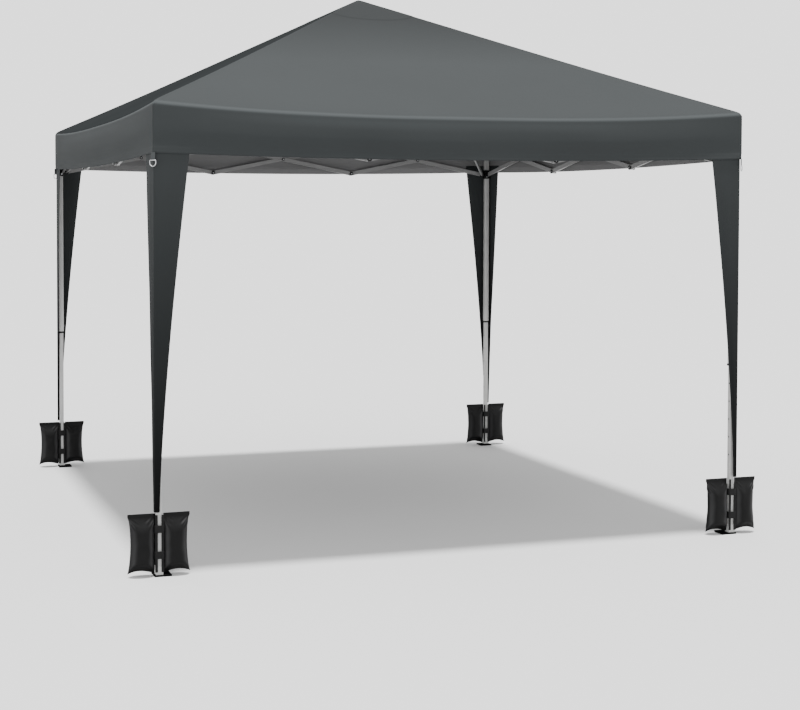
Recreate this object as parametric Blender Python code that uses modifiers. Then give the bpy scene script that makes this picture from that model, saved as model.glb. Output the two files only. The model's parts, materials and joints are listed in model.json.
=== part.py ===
"""A pop-up gazebo: a fabric canopy on a folding steel scissor frame with four telescopic legs.

Units are metres, +Z is up, and the origin is the centre of the footprint on the ground.
The front is the -Y side. Each side carries three scissor crossings between its two legs,
a folding rafter runs from each leg top to the hub under the peak, and a strut props each
outer rafter from the slider on its leg. The frame is drawn open, which is its rest pose.
"""

import math

import bmesh
import bpy
from mathutils import Matrix, Vector

# Plan: leg axes, canopy and pivots
LEG_AXIS = 1.47  # from the centre to a leg's axis, along X and along Y
CANOPY_HALF = 1.5
CROSSINGS = 3  # scissor crossings on each side
PIVOT_INSET = 0.040  # from a leg's axis to its scissor pivots, along the side
RAFTER_INSET = 0.055  # from a leg's axis to its rafter and strut pivots, along the diagonal
HUB_PIVOT_RADIUS = 0.045

# Heights
TOP_PIVOT_Z = 2.055
SLIDER_PIVOT_Z = 1.87
HUB_PIVOT_Z = 2.7064
UPPER_TUBE_Z = (0.85, 2.07)
LOWER_TUBE_Z = (0.01, 1.06)
BRACKET_Z = (2.028, 2.1)
SLIDER_Z = (1.842, 1.9)

# Sections
UPPER_TUBE, UPPER_WALL = 0.030, 0.0015
LOWER_TUBE, LOWER_WALL = 0.025, 0.0012
BAR_HEIGHT, BAR_THICKNESS = 0.025, 0.012
BAR_PLANE = 0.0065  # a bar's middle plane, to either side of the leg axes
RAFTER_HEIGHT = 0.022
RAFTER_PLANE = 0.013  # between the middle planes of neighbouring rafter parts
STRUT_HEIGHT = 0.018
STRUT_REACH = 0.437  # along the outer rafter to the strut's upper pivot
BRACKET_HALF = 0.020
PRONG = 0.0032  # thickness of a bracket's prong
RUNNING_GAP = 0.0003
PIN_RADIUS = 0.003
HOLE_RADIUS = 0.0034
HEAD_RADIUS, HEAD_THICKNESS = 0.0055, 0.0012

# Canopy
PEAK_Z = 2.815
EAVE_CORNER_Z = 2.117
EAVE_SAG = 0.045
VALANCE_Z = 1.885
VALANCE_SAG = 0.02
FABRIC = 0.003
CANOPY_CELLS = 12

# Leg drapes and weight bags
DRAPE_OFFSET = 1.4935  # outer face of a drape, from the centre
DRAPE_Z = (0.295, 1.93)
DRAPE_TOP_WIDTH, DRAPE_FOOT_WIDTH = 0.168, 0.023
DRAPE_TAPER = 1.4
DRAPE_ROWS = 6
BAG_HALF_WIDTH, BAG_HALF_DEPTH = 0.148, 0.040
BAG_Z = (0.012, 0.285)
BAG_SLOT_HALF = 0.0195
STRAP_HEIGHT, STRAP_THICKNESS = 0.038, 0.003
STRAP_LEVELS = (0.26, 0.69)  # of the bag's height, down from its top

# Feet
FOOT_REACH = 0.055
FOOT_BACK = 0.022
FOOT_THICKNESS = 0.006
FOOT_CUP_HALF, FOOT_CUP_HEIGHT = 0.0165, 0.045

Z_AXIS = Vector((0, 0, 1))
CORNERS = {
    "front_left": Vector((-1, -1, 0)),
    "front_right": Vector((1, -1, 0)),
    "back_left": Vector((-1, 1, 0)),
    "back_right": Vector((1, 1, 0)),
}
SIDES = {
    "front": ("front_left", "front_right"),
    "left": ("front_left", "back_left"),
    "right": ("front_right", "back_right"),
    "back": ("back_left", "back_right"),
}

# Worked out from the driving dimensions
PITCH = 2 * (LEG_AXIS - PIVOT_INSET) / CROSSINGS
BAR_LENGTH = math.hypot(PITCH, TOP_PIVOT_Z - SLIDER_PIVOT_Z)
RAFTER_RUN = LEG_AXIS * math.sqrt(2) - RAFTER_INSET - HUB_PIVOT_RADIUS
RAFTER_ANGLE = math.atan2(HUB_PIVOT_Z - TOP_PIVOT_Z, RAFTER_RUN)
RAFTER_LENGTH = math.hypot(RAFTER_RUN, HUB_PIVOT_Z - TOP_PIVOT_Z) / 2


def clear_scene():
    for obj in list(bpy.data.objects):
        bpy.data.objects.remove(obj, do_unlink=True)


def collection(name):
    made = bpy.data.collections.new(name)
    bpy.context.scene.collection.children.link(made)
    return made


def material(name, colour, roughness, metallic=0.0):
    made = bpy.data.materials.new(name)
    made.use_nodes = True
    shader = made.node_tree.nodes["Principled BSDF"]
    shader.inputs["Base Color"].default_value = (*colour, 1)
    shader.inputs["Roughness"].default_value = roughness
    shader.inputs["Metallic"].default_value = metallic
    return made


# Shapes --------------------------------------------------------------------------------


def arc(centre, radius, start, end, steps):
    """Points on an arc in the plane, both ends included, with the angles in degrees."""
    angles = [math.radians(start + (end - start) * i / steps) for i in range(steps + 1)]
    return [(centre[0] + radius * math.cos(a), centre[1] + radius * math.sin(a)) for a in angles]


def circle(centre, radius, sides=8):
    return arc(centre, radius, 0, 360 - 360 / sides, sides - 1)


def stadium(length, height, steps=4):
    """A bar's outline: its end pivots lie at x = 0 and x = length."""
    return arc((0, 0), height / 2, 90, 270, steps) + arc((length, 0), height / 2, -90, 90, steps)


def rounded_square(half, radius, steps=2):
    inner = half - radius
    return [
        point
        for x, y, start in ((inner, inner, 0), (-inner, inner, 90), (-inner, -inner, 180), (inner, -inner, 270))
        for point in arc((x, y), radius, start, start + 90, steps)
    ]


def mesh_object(name, mesh):
    made = bpy.data.objects.new(name, mesh)
    workshop.objects.link(made)
    return made


def plate(name, outlines, thickness):
    """A flat plate in local XY, centred on Z = 0, whose later outlines are holes in the first."""
    curve = bpy.data.curves.new(name, "CURVE")
    curve.dimensions = "2D"
    curve.fill_mode = "BOTH"
    curve.extrude = thickness / 2
    for outline in outlines:
        spline = curve.splines.new("POLY")
        spline.points.add(len(outline) - 1)
        for point, (x, y) in zip(spline.points, outline):
            point.co = (x, y, 0, 1)
        spline.use_cyclic_u = True
    flat = mesh_object(name + "_outline", curve)
    graph = bpy.context.evaluated_depsgraph_get()
    mesh = bpy.data.meshes.new_from_object(flat.evaluated_get(graph))
    bpy.data.objects.remove(flat, do_unlink=True)
    welded = bmesh.new()
    welded.from_mesh(mesh)
    bmesh.ops.remove_doubles(welded, verts=welded.verts, dist=1e-5)
    bmesh.ops.recalc_face_normals(welded, faces=welded.faces)
    welded.to_mesh(mesh)
    welded.free()
    return mesh_object(name, mesh)


def block(low, high, frame=Matrix.Identity(4)):
    """A box between two corners given in the axes of frame."""
    low, high = Vector(low), Vector(high)
    shape = bmesh.new()
    size = Matrix.Diagonal((*(high - low), 1))
    bmesh.ops.create_cube(shape, size=1, matrix=frame @ Matrix.Translation((low + high) / 2) @ size)
    mesh = bpy.data.meshes.new("block")
    bmesh.ops.recalc_face_normals(shape, faces=shape.faces)
    shape.to_mesh(mesh)
    shape.free()
    return mesh_object("block", mesh)


def rod(start, end, radius, sides=8):
    """A round rod between two points."""
    start, end = Vector(start), Vector(end)
    along = end - start
    shape = bmesh.new()
    bmesh.ops.create_cone(
        shape,
        cap_ends=True,
        segments=sides,
        radius1=radius,
        radius2=radius,
        depth=along.length,
        matrix=Matrix.Translation((start + end) / 2) @ along.to_track_quat("Z", "Y").to_matrix().to_4x4(),
    )
    mesh = bpy.data.meshes.new("rod")
    bmesh.ops.recalc_face_normals(shape, faces=shape.faces)
    shape.to_mesh(mesh)
    shape.free()
    return mesh_object("rod", mesh)


def fuse(base, pieces):
    """Joins pieces to base with Boolean unions, applies them and removes the pieces."""
    for piece in pieces:
        union = base.modifiers.new("join", "BOOLEAN")
        union.operation = "UNION"
        union.solver = "MANIFOLD"
        union.object = piece
    bpy.context.view_layer.update()
    graph = bpy.context.evaluated_depsgraph_get()
    mesh = bpy.data.meshes.new_from_object(base.evaluated_get(graph))
    base.modifiers.clear()
    base.data = mesh
    for piece in pieces:
        bpy.data.objects.remove(piece, do_unlink=True)
    return base


def add_part(name, mesh, finish, matrix=Matrix.Identity(4)):
    """Places a mesh as one named sub-part of the gazebo."""
    part = bpy.data.objects.new(name, mesh)
    gazebo.objects.link(part)
    part.parent = root
    part.matrix_world = matrix
    if not mesh.materials:
        mesh.materials.append(finish)
    return part


def finish_shape(workpiece):
    """Takes the mesh off a workpiece and removes the workpiece."""
    mesh = workpiece.data
    mesh.shade_smooth()
    mesh.set_sharp_from_angle(angle=math.radians(35))
    bpy.data.objects.remove(workpiece, do_unlink=True)
    return mesh


def axes(origin, x, z):
    """The placement whose local X and Z point along x and z."""
    x, z = x.normalized(), z.normalized()
    y = z.cross(x)
    turn = Matrix((x, y, z)).transposed().to_4x4()
    return Matrix.Translation(origin) @ turn


# Plan geometry ---------------------------------------------------------------------------


def leg_foot(corner):
    return CORNERS[corner] * LEG_AXIS


def side_directions(side):
    """A side's direction from its first leg to its second, and its outward normal."""
    first, second = (CORNERS[name] for name in SIDES[side])
    return (second - first).normalized(), (first + second).normalized()


def inward(corner):
    """The level diagonal from a leg to the centre."""
    return -CORNERS[corner].normalized()


def rafter_side(corner):
    """The level normal of a corner's rafters, on the side where its inner rafter lies.

    The two inner rafters beside the front-left one lie towards the back-right corner, because
    the hub leans that way while the frame folds.
    """
    sideways = Z_AXIS.cross(inward(corner))
    return -sideways if corner == "front_right" else sideways


def sides_at(corner):
    """(direction along the side away from this leg, outward normal, top bar plane, slider bar plane)."""
    found = []
    for side, (first, second) in SIDES.items():
        along, outward = side_directions(side)
        if corner == first:
            found.append((along, outward, -BAR_PLANE, BAR_PLANE))
        elif corner == second:
            found.append((-along, outward, BAR_PLANE, -BAR_PLANE))
    return found


# Scissor bars ----------------------------------------------------------------------------


def pin_with_head(at, first_z, face_z):
    """A rivet that stands on a bar at x = at and passes a neighbour whose far face is face_z."""
    head_z = face_z + RUNNING_GAP
    return [
        rod((at, 0, first_z), (at, 0, head_z + HEAD_THICKNESS / 2), PIN_RADIUS),
        rod((at, 0, head_z), (at, 0, head_z + HEAD_THICKNESS), HEAD_RADIUS),
    ]


def bar_mesh(name, holes, pins):
    """A scissor bar with pin holes and fixed rivets at the given shares of its length."""
    outlines = [stadium(BAR_LENGTH, BAR_HEIGHT)]
    outlines += [circle((share * BAR_LENGTH, 0), HOLE_RADIUS) for share in holes]
    bar = plate(name, outlines, BAR_THICKNESS)
    far_face = 2 * BAR_PLANE + BAR_THICKNESS / 2
    rivets = [piece for share in pins for piece in pin_with_head(share * BAR_LENGTH, 0, far_face)]
    return finish_shape(fuse(bar, rivets) if rivets else bar)


def add_scissors():
    """Falling bars carry the rivets on the inner plane, and rising bars lie outside them."""
    middle, end = 0.5, 1.0
    falling = [
        bar_mesh("falling_first", [0], [middle, end]),
        bar_mesh("falling_middle", [], [0, middle, end]),
        bar_mesh("falling_last", [end], [0, middle]),
    ]
    rising = [bar_mesh("rising", [0, middle, end], []) for _ in range(CROSSINGS)]
    drop = Z_AXIS * (TOP_PIVOT_Z - SLIDER_PIVOT_Z)
    for side in SIDES:
        along, outward = side_directions(side)
        start = leg_foot(SIDES[side][0]) + along * PIVOT_INSET + Z_AXIS * TOP_PIVOT_Z
        for i in range(CROSSINGS):
            top = start + along * PITCH * i
            bottom = top - drop
            add_part(
                f"{side}_bar_falling_{i + 1}",
                falling[i],
                frame_white,
                axes(top - outward * BAR_PLANE, along * PITCH - drop, outward),
            )
            add_part(
                f"{side}_bar_rising_{i + 1}",
                rising[i],
                frame_white,
                axes(bottom + outward * BAR_PLANE, along * PITCH + drop, outward),
            )


# Brackets --------------------------------------------------------------------------------


def fork(along, across, plane, reach, half_thickness, height, z):
    """Two prongs and their pin, which hold the end of a bar lying in a plane of constant across."""
    frame = axes(Z_AXIS * z, along, across)
    inner_face = half_thickness + RUNNING_GAP
    pieces = []
    for face in (inner_face, -inner_face - PRONG):
        low = (0.010, -height / 2, plane + face)
        high = (reach + height / 2, height / 2, plane + face + PRONG)
        pieces.append(block(low, high, frame))
    ends = [frame @ Vector((reach, 0, plane + sign * (inner_face + PRONG / 2))) for sign in (-1, 1)]
    pieces.append(rod(*ends, PIN_RADIUS))
    return pieces


def side_forks(corner, level, z):
    """The forks that hold the scissor bars of a leg's two sides, at its top (2) or its slider (3)."""
    pieces = []
    for found in sides_at(corner):
        pieces += fork(found[0], found[1], found[level], PIVOT_INSET, BAR_THICKNESS / 2, 0.026, z)
    return pieces


def add_upper_leg(corner):
    """The upper leg tube, with the bracket fixed on its top."""
    length = UPPER_TUBE_Z[1] - UPPER_TUBE_Z[0]
    half = UPPER_TUBE / 2
    outlines = [rounded_square(half, 0.003), rounded_square(half - UPPER_WALL, 0.0015)]
    tube = plate("tube", outlines, length)
    tube.data.transform(Matrix.Translation((0, 0, UPPER_TUBE_Z[0] + length / 2)))
    cap = block((-BRACKET_HALF, -BRACKET_HALF, BRACKET_Z[0]), (BRACKET_HALF, BRACKET_HALF, BRACKET_Z[1]))
    rafter_fork = fork(
        inward(corner), rafter_side(corner), 0, RAFTER_INSET, BAR_THICKNESS / 2, 0.022, TOP_PIVOT_Z
    )
    leg = fuse(tube, [cap] + side_forks(corner, 2, TOP_PIVOT_Z) + rafter_fork)
    add_part(f"upper_leg_{corner}", finish_shape(leg), frame_white, Matrix.Translation(leg_foot(corner)))


def add_slider(corner):
    """The sleeve that runs on the upper leg, with scissor forks and a lug for the rafter strut."""
    height = SLIDER_Z[1] - SLIDER_Z[0]
    bore_half = UPPER_TUBE / 2 + 0.0008
    sleeve = plate("sleeve", [rounded_square(BRACKET_HALF, 0.003), rounded_square(bore_half, 0.003)], height)
    sleeve.data.transform(Matrix.Translation((0, 0, SLIDER_Z[0] + height / 2)))
    frame = axes(Z_AXIS * SLIDER_PIVOT_Z, inward(corner), -rafter_side(corner))
    strut_face = RAFTER_PLANE - BAR_THICKNESS / 2 - RUNNING_GAP
    far_face = RAFTER_PLANE + BAR_THICKNESS / 2
    lug = block((0.0245, -0.010, 0.0004), (RAFTER_INSET + 0.009, 0.010, strut_face), frame)
    pin = pin_with_head(RAFTER_INSET, 0.003, far_face)
    for piece in pin:
        piece.data.transform(frame)
    made = fuse(sleeve, side_forks_outside(corner) + [lug] + pin)
    place = Matrix.Translation(leg_foot(corner))
    add_part(f"slider_{corner}", finish_shape(made), black_plastic, place)


def side_forks_outside(corner):
    """The slider's side forks, cut short of its bore so that the leg tube passes."""
    pieces = []
    for along, outward, _, plane in sides_at(corner):
        frame = axes(Z_AXIS * SLIDER_PIVOT_Z, along, outward)
        inner_face = BAR_THICKNESS / 2 + RUNNING_GAP
        for face in (inner_face, -inner_face - PRONG):
            low = (0.0178, -0.013, plane + face)
            high = (PIVOT_INSET + 0.013, 0.013, plane + face + PRONG)
            pieces.append(block(low, high, frame))
        ends = [
            frame @ Vector((PIVOT_INSET, 0, plane + sign * (inner_face + PRONG / 2))) for sign in (-1, 1)
        ]
        pieces.append(rod(*ends, PIN_RADIUS))
    return pieces


def add_lower_leg(corner):
    """The lower leg tube, with its foot plate and the cup that holds the tube."""
    length = LOWER_TUBE_Z[1] - LOWER_TUBE_Z[0]
    half = LOWER_TUBE / 2
    tube = plate("tube", [rounded_square(half, 0.0025), rounded_square(half - LOWER_WALL, 0.0013)], length)
    tube.data.transform(Matrix.Translation((0, 0, LOWER_TUBE_Z[0] + length / 2)))
    inner_x, inner_y = -CORNERS[corner].x, -CORNERS[corner].y
    xs = sorted((-FOOT_BACK * inner_x, FOOT_REACH * inner_x))
    ys = sorted((-FOOT_BACK * inner_y, FOOT_REACH * inner_y))
    foot = block((xs[0], ys[0], 0), (xs[1], ys[1], FOOT_THICKNESS))
    cup = block((-FOOT_CUP_HALF, -FOOT_CUP_HALF, 0.002), (FOOT_CUP_HALF, FOOT_CUP_HALF, FOOT_CUP_HEIGHT))
    leg = fuse(tube, [cup, foot])
    add_part(f"lower_leg_{corner}", finish_shape(leg), frame_white, Matrix.Translation(leg_foot(corner)))


# Rafters ---------------------------------------------------------------------------------


def add_rafters(corner):
    """The outer and inner rafters of one corner, and the strut from its slider."""
    run, across = inward(corner), rafter_side(corner)
    slope = run * math.cos(RAFTER_ANGLE) + Z_AXIS * math.sin(RAFTER_ANGLE)
    foot = leg_foot(corner) + run * RAFTER_INSET
    start = foot + Z_AXIS * TOP_PIVOT_Z
    add_part(f"outer_rafter_{corner}", outer_rafter, frame_white, axes(start, slope, across))
    hub_end = start + slope * 2 * RAFTER_LENGTH + across * RAFTER_PLANE
    add_part(f"inner_rafter_{corner}", inner_rafter, frame_white, axes(hub_end, -slope, across))
    strut_foot = foot + Z_AXIS * SLIDER_PIVOT_Z
    strut_head = start + slope * STRUT_REACH
    place = axes(strut_foot - across * RAFTER_PLANE, strut_head - strut_foot, across)
    add_part(f"rafter_strut_{corner}", strut, frame_white, place)


def strut_length():
    rise = TOP_PIVOT_Z - SLIDER_PIVOT_Z + STRUT_REACH * math.sin(RAFTER_ANGLE)
    return math.hypot(STRUT_REACH * math.cos(RAFTER_ANGLE), rise)


def rafter_mesh(name, length, height):
    """A flat rafter part with a pin hole at its first end."""
    outlines = [stadium(length, height), circle((0, 0), HOLE_RADIUS)]
    return finish_shape(plate(name, outlines, BAR_THICKNESS))


def add_hub():
    """The hub under the peak: a round boss with a fork for each inner rafter."""
    boss = rod((0, 0, HUB_PIVOT_Z - 0.020), (0, 0, HUB_PIVOT_Z + 0.020), 0.030, 16)
    forks = []
    for corner in CORNERS:
        forks += fork(
            -inward(corner),
            rafter_side(corner),
            RAFTER_PLANE,
            HUB_PIVOT_RADIUS,
            BAR_THICKNESS / 2,
            0.022,
            HUB_PIVOT_Z,
        )
    add_part("center_hub", finish_shape(fuse(boss, forks)), black_plastic)


def turned(name, profile, finish):
    """A turned part. The profile of (radius, z) runs down the outside, from top to bottom."""
    mesh = bpy.data.meshes.new(name)
    mesh.from_pydata([(r, 0, z) for r, z in profile], [(i, i + 1) for i in range(len(profile) - 1)], [])
    part = add_part(name, mesh, finish)
    screw = part.modifiers.new("turn", "SCREW")
    screw.steps = screw.render_steps = 16
    screw.use_merge_vertices = True
    screw.merge_threshold = 0.00001
    return part


def add_peak():
    """The pole that lifts the canopy's peak, and the round cap on it."""
    foot, top, cap_top = HUB_PIVOT_Z + 0.0203, 2.772, 2.795
    turned("peak_pole", [(0, top), (0.0125, top), (0.0125, foot), (0, foot)], frame_white)
    dome = [(0, cap_top)] + [
        (0.028 * math.sin(math.radians(a)), cap_top - 0.015 + 0.015 * math.cos(math.radians(a)))
        for a in (30, 60, 90)
    ]
    turned("peak_cap", dome + [(0.026, top + RUNNING_GAP), (0, top + RUNNING_GAP)], black_plastic)


# Fabric ----------------------------------------------------------------------------------


def eave_height(share):
    """Eave height at a share of the half side from its middle."""
    return EAVE_CORNER_Z - EAVE_SAG * (1 - share * share)


def roof_height(x, y):
    """A square pyramid whose eaves sag between the corners."""
    ring = max(abs(x), abs(y)) / CANOPY_HALF
    share = min(abs(x), abs(y)) / (ring * CANOPY_HALF) if ring > 0 else 1
    return PEAK_Z - (PEAK_Z - eave_height(share)) * ring


def add_canopy():
    """The roof and its valance, one open surface given the fabric's thickness."""
    shape = bmesh.new()
    bmesh.ops.create_grid(shape, x_segments=CANOPY_CELLS, y_segments=CANOPY_CELLS, size=CANOPY_HALF)
    hips = [vert for vert in shape.verts if abs(abs(vert.co.x) - abs(vert.co.y)) < 0.01]
    bmesh.ops.connect_verts(shape, verts=hips)
    for vert in shape.verts:
        vert.co.z = roof_height(vert.co.x, vert.co.y)
    rim = [edge for edge in shape.edges if edge.is_boundary]
    skirt = bmesh.ops.extrude_edge_only(shape, edges=rim)["geom"]
    for vert in skirt:
        if isinstance(vert, bmesh.types.BMVert):
            share = min(abs(vert.co.x), abs(vert.co.y)) / CANOPY_HALF
            vert.co.z = VALANCE_Z - VALANCE_SAG * (1 - share * share)
    bmesh.ops.recalc_face_normals(shape, faces=shape.faces)
    mesh = bpy.data.meshes.new("canopy")
    shape.to_mesh(mesh)
    shape.free()
    thicken(add_part("canopy", mesh, canopy_fabric))


def thicken(part):
    """Gives an open sheet the fabric's thickness, inwards from its outer face."""
    solid = part.modifiers.new("thickness", "SOLIDIFY")
    solid.thickness = FABRIC
    solid.offset = -1
    solid.use_even_offset = True


def drape_width(share):
    """Width of a drape's flaps at a share of its height."""
    return DRAPE_FOOT_WIDTH + (DRAPE_TOP_WIDTH - DRAPE_FOOT_WIDTH) * share**DRAPE_TAPER


def add_drape(corner):
    """Two tapering flaps that hang round the outside of a leg and meet at the corner."""
    out = CORNERS[corner]
    shape = bmesh.new()
    bmesh.ops.create_grid(shape, x_segments=2, y_segments=DRAPE_ROWS, size=1)
    for vert in shape.verts:
        across, share = vert.co.x, (vert.co.y + 1) / 2
        back_x = max(across, 0) * drape_width(share)
        back_y = max(-across, 0) * drape_width(share)
        z = DRAPE_Z[0] + (DRAPE_Z[1] - DRAPE_Z[0]) * share
        vert.co = (out.x * (DRAPE_OFFSET - back_x), out.y * (DRAPE_OFFSET - back_y), z)
    for face in shape.faces:
        face.normal_update()
    if sum(face.normal.dot(out) for face in shape.faces) < 0:
        bmesh.ops.reverse_faces(shape, faces=shape.faces)
    mesh = bpy.data.meshes.new("drape")
    shape.to_mesh(mesh)
    shape.free()
    thicken(add_part(f"leg_drape_{corner}", mesh, canopy_fabric))


def pillow(side):
    """One half of a weight bag, beside the leg."""
    low = (side * BAG_SLOT_HALF, -BAG_HALF_DEPTH, BAG_Z[0])
    high = (side * BAG_HALF_WIDTH, BAG_HALF_DEPTH, BAG_Z[1])
    half = block([min(a, b) for a, b in zip(low, high)], [max(a, b) for a, b in zip(low, high)])
    round_edges = half.modifiers.new("round", "BEVEL")
    round_edges.width = 0.022
    round_edges.segments = 2
    return half


def add_weight_bag(corner):
    """Two pillows either side of the leg, joined by straps in front of it and behind it."""
    height = BAG_Z[1] - BAG_Z[0]
    straps = []
    for level in STRAP_LEVELS:
        z = BAG_Z[1] - level * height
        for front in (-1, 1):
            near, far = sorted((front * (BAG_SLOT_HALF - STRAP_THICKNESS), front * BAG_SLOT_HALF))
            straps.append(
                block(
                    (-2 * BAG_SLOT_HALF, near, z - STRAP_HEIGHT / 2),
                    (2 * BAG_SLOT_HALF, far, z + STRAP_HEIGHT / 2),
                )
            )
    bag = fuse(pillow(-1), [pillow(1)] + straps)
    place = Matrix.Translation(leg_foot(corner))
    add_part(f"weight_bag_{corner}", finish_shape(bag), bag_fabric, place)


# Assembly --------------------------------------------------------------------------------

clear_scene()
gazebo = collection("pop_up_gazebo")
workshop = collection("workpieces")
root = bpy.data.objects.new("gazebo_root", None)
gazebo.objects.link(root)

frame_white = material("powder_coated_steel", (0.62, 0.63, 0.62), 0.42, 0.3)
black_plastic = material("black_plastic", (0.02, 0.02, 0.021), 0.5)
canopy_fabric = material("canopy_fabric", (0.10, 0.11, 0.115), 0.85)
bag_fabric = material("bag_fabric", (0.015, 0.015, 0.016), 0.6)

outer_rafter = rafter_mesh("outer_rafter", RAFTER_LENGTH, RAFTER_HEIGHT)
inner_rafter = rafter_mesh("inner_rafter", RAFTER_LENGTH, RAFTER_HEIGHT)
strut = rafter_mesh("strut", strut_length(), STRUT_HEIGHT)

add_scissors()
for corner_name in CORNERS:
    add_upper_leg(corner_name)
    add_lower_leg(corner_name)
    add_slider(corner_name)
    add_rafters(corner_name)
    add_drape(corner_name)
    add_weight_bag(corner_name)
add_hub()
add_peak()
add_canopy()
bpy.data.collections.remove(workshop)
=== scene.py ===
"""The looks of a pop-up gazebo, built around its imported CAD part.

Units are metres, +Z is up, and the origin is the centre of the footprint on the ground.
The canopy, the leg drapes and the weight bags are cloth and stand for their CAD shells.
Bolts, bushings, collars, rings, straps and seams are added to the CAD frame, which isn't moved.
"""

import json
import math

import bmesh
import bpy
import numpy as np
from mathutils import Matrix, Vector, noise

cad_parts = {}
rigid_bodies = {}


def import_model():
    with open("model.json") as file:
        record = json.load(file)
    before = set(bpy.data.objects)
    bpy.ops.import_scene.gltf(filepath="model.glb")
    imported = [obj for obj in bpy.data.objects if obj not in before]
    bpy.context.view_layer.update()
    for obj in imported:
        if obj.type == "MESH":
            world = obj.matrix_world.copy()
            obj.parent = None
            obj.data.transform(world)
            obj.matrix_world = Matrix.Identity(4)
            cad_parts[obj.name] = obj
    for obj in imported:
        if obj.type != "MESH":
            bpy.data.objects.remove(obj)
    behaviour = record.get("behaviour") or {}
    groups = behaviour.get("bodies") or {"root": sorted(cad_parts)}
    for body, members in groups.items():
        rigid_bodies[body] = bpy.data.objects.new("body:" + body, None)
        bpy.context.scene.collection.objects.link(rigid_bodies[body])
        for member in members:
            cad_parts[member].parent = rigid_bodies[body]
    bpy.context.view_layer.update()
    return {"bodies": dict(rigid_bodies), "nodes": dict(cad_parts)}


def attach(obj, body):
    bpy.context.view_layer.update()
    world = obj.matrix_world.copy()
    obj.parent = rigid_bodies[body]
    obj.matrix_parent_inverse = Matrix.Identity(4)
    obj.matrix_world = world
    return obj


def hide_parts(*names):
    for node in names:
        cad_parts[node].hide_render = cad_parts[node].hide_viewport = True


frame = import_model()

CORNERS = {
    "front_left": Vector((-1, -1, 0)),
    "front_right": Vector((1, -1, 0)),
    "back_left": Vector((-1, 1, 0)),
    "back_right": Vector((1, 1, 0)),
}
SIDES = {
    "front": ("front_left", "front_right"),
    "left": ("front_left", "back_left"),
    "right": ("front_right", "back_right"),
    "back": ("back_left", "back_right"),
}
Z_AXIS = Vector((0, 0, 1))
TIP_RADIUS = 0.0008  # of the small flat that closes a turned shape

# Frame dimensions, as in the CAD part
LEG_AXIS = 1.47
PIVOT_INSET = 0.040
RAFTER_INSET = 0.055
HUB_PIVOT_RADIUS = 0.045
TOP_PIVOT_Z, SLIDER_PIVOT_Z, HUB_PIVOT_Z = 2.055, 1.87, 2.7064
CROSSINGS = 3
BAR_OUTER_FACE, RAFTER_OUTER_FACE = 0.0125, 0.0205  # from the middle of their pivots
STRUT_REACH = 0.437

# Canopy
CANOPY_HALF = 1.4975
PEAK_Z = 2.8135
EAVE_CORNER_Z = 2.116
EAVE_SAGS = (0.050, 0.045, 0.045, 0.034)  # front, right, back and left sides
SAG_POWER = 2.6  # how suddenly an eave rises beside its corners
HEM_CORNER_Z, HEM_SAG = 1.886, 0.02
HIP_SAG, ROOF_SAG, ROOF_RIPPLE = 0.007, 0.012, 0.0022
HIP_SEAM_WIDTH, HIP_SEAM_LIFT = 0.009, 0.0012  # on each side of a hip
EAVE_ROUNDING = 0.02
PATCH_AT_HIP, PATCH_BULGE, PATCH_STEP = 0.16, 0.04, 0.0015
SEAM_WIDTH, SEAM_ROW = 0.008, 4  # the stitched edge of the peak patch
HEM_HEIGHT, HEM_STEP = 0.028, 0.0008
VALANCE_FOLDS, VALANCE_RIPPLE = 0.0038, 0.005
VALANCE_BELLY, BELLY_END = 0.0075, 0.78  # its depth, and how far down the valance it reaches
VALANCE_TUCK = 0.0060
VALANCE_ROOM = 0.0052  # behind the valance, before the bolts of the truss
DRAPE_ROOM = 0.0019  # behind the valance beside its corners, before the drapes
CLOTH_THICKNESS = 0.0012
HUB_DROP_SHARE = 0.834  # the hub's fall when the frame folds, over a slider's
PLEAT_DROP_SHARE = 0.55

# Leg drapes
DRAPE_FACE = 1.4932
DRAPE_FOOT_Z, DRAPE_TOP_Z = 0.289, 1.93
DRAPE_TOP_WIDTH, DRAPE_FOOT_WIDTH, DRAPE_TAPER = 0.168, 0.023, 1.4
DRAPE_FLAT_Z = 1.845  # above here a drape stays flat, to slide up behind the valance
DRAPE_ROUNDING, DRAPE_HEM = 0.006, 0.010
DRAPE_WAVE, DRAPE_HANG = 0.0050, 0.0040

# Weight bags
BAG_INNER, BAG_OUTER = 0.0193, 0.147
BAG_BOTTOM, BAG_TOP = 0.013, 0.284
BAG_DEPTH = 0.031
STRAP_LEVELS = (0.26, 0.69)  # of the bag's height, down from its top
POCKET_ROWS, POCKET_COLUMNS, HEM_ROWS = 72, 36, 4
TOP_BAND = 0.016  # the flat sewn hem over each pocket
SEWN_HALF = 0.0009  # half the thickness of the two faces where they lie together
OUTER_DRAW, TOP_DRAW = 0.0150, 0.004  # how far filling draws the outer seam in, and the hem's end
INNER_DRAW = 0.0015
BOTTOM_ARCH = 0.013
LUMPS = 0.0014
CREASE_SCALE = 1.5
CREASES = (  # each from (across, up) to (across, up), then its depth
    (0.99, 0.985, 0.70, 0.80, 0.0034),
    (0.99, 0.930, 0.78, 0.72, 0.0026),
    (0.93, 1.000, 0.58, 0.86, 0.0024),
    (0.03, 0.985, 0.26, 0.84, 0.0026),
    (0.10, 1.000, 0.36, 0.91, 0.0018),
    (0.99, 0.015, 0.74, 0.13, 0.0026),
    (0.98, 0.060, 0.82, 0.24, 0.0016),
    (0.02, 0.020, 0.24, 0.12, 0.0022),
)


# ---------------------------------------------------------------- materials


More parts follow.
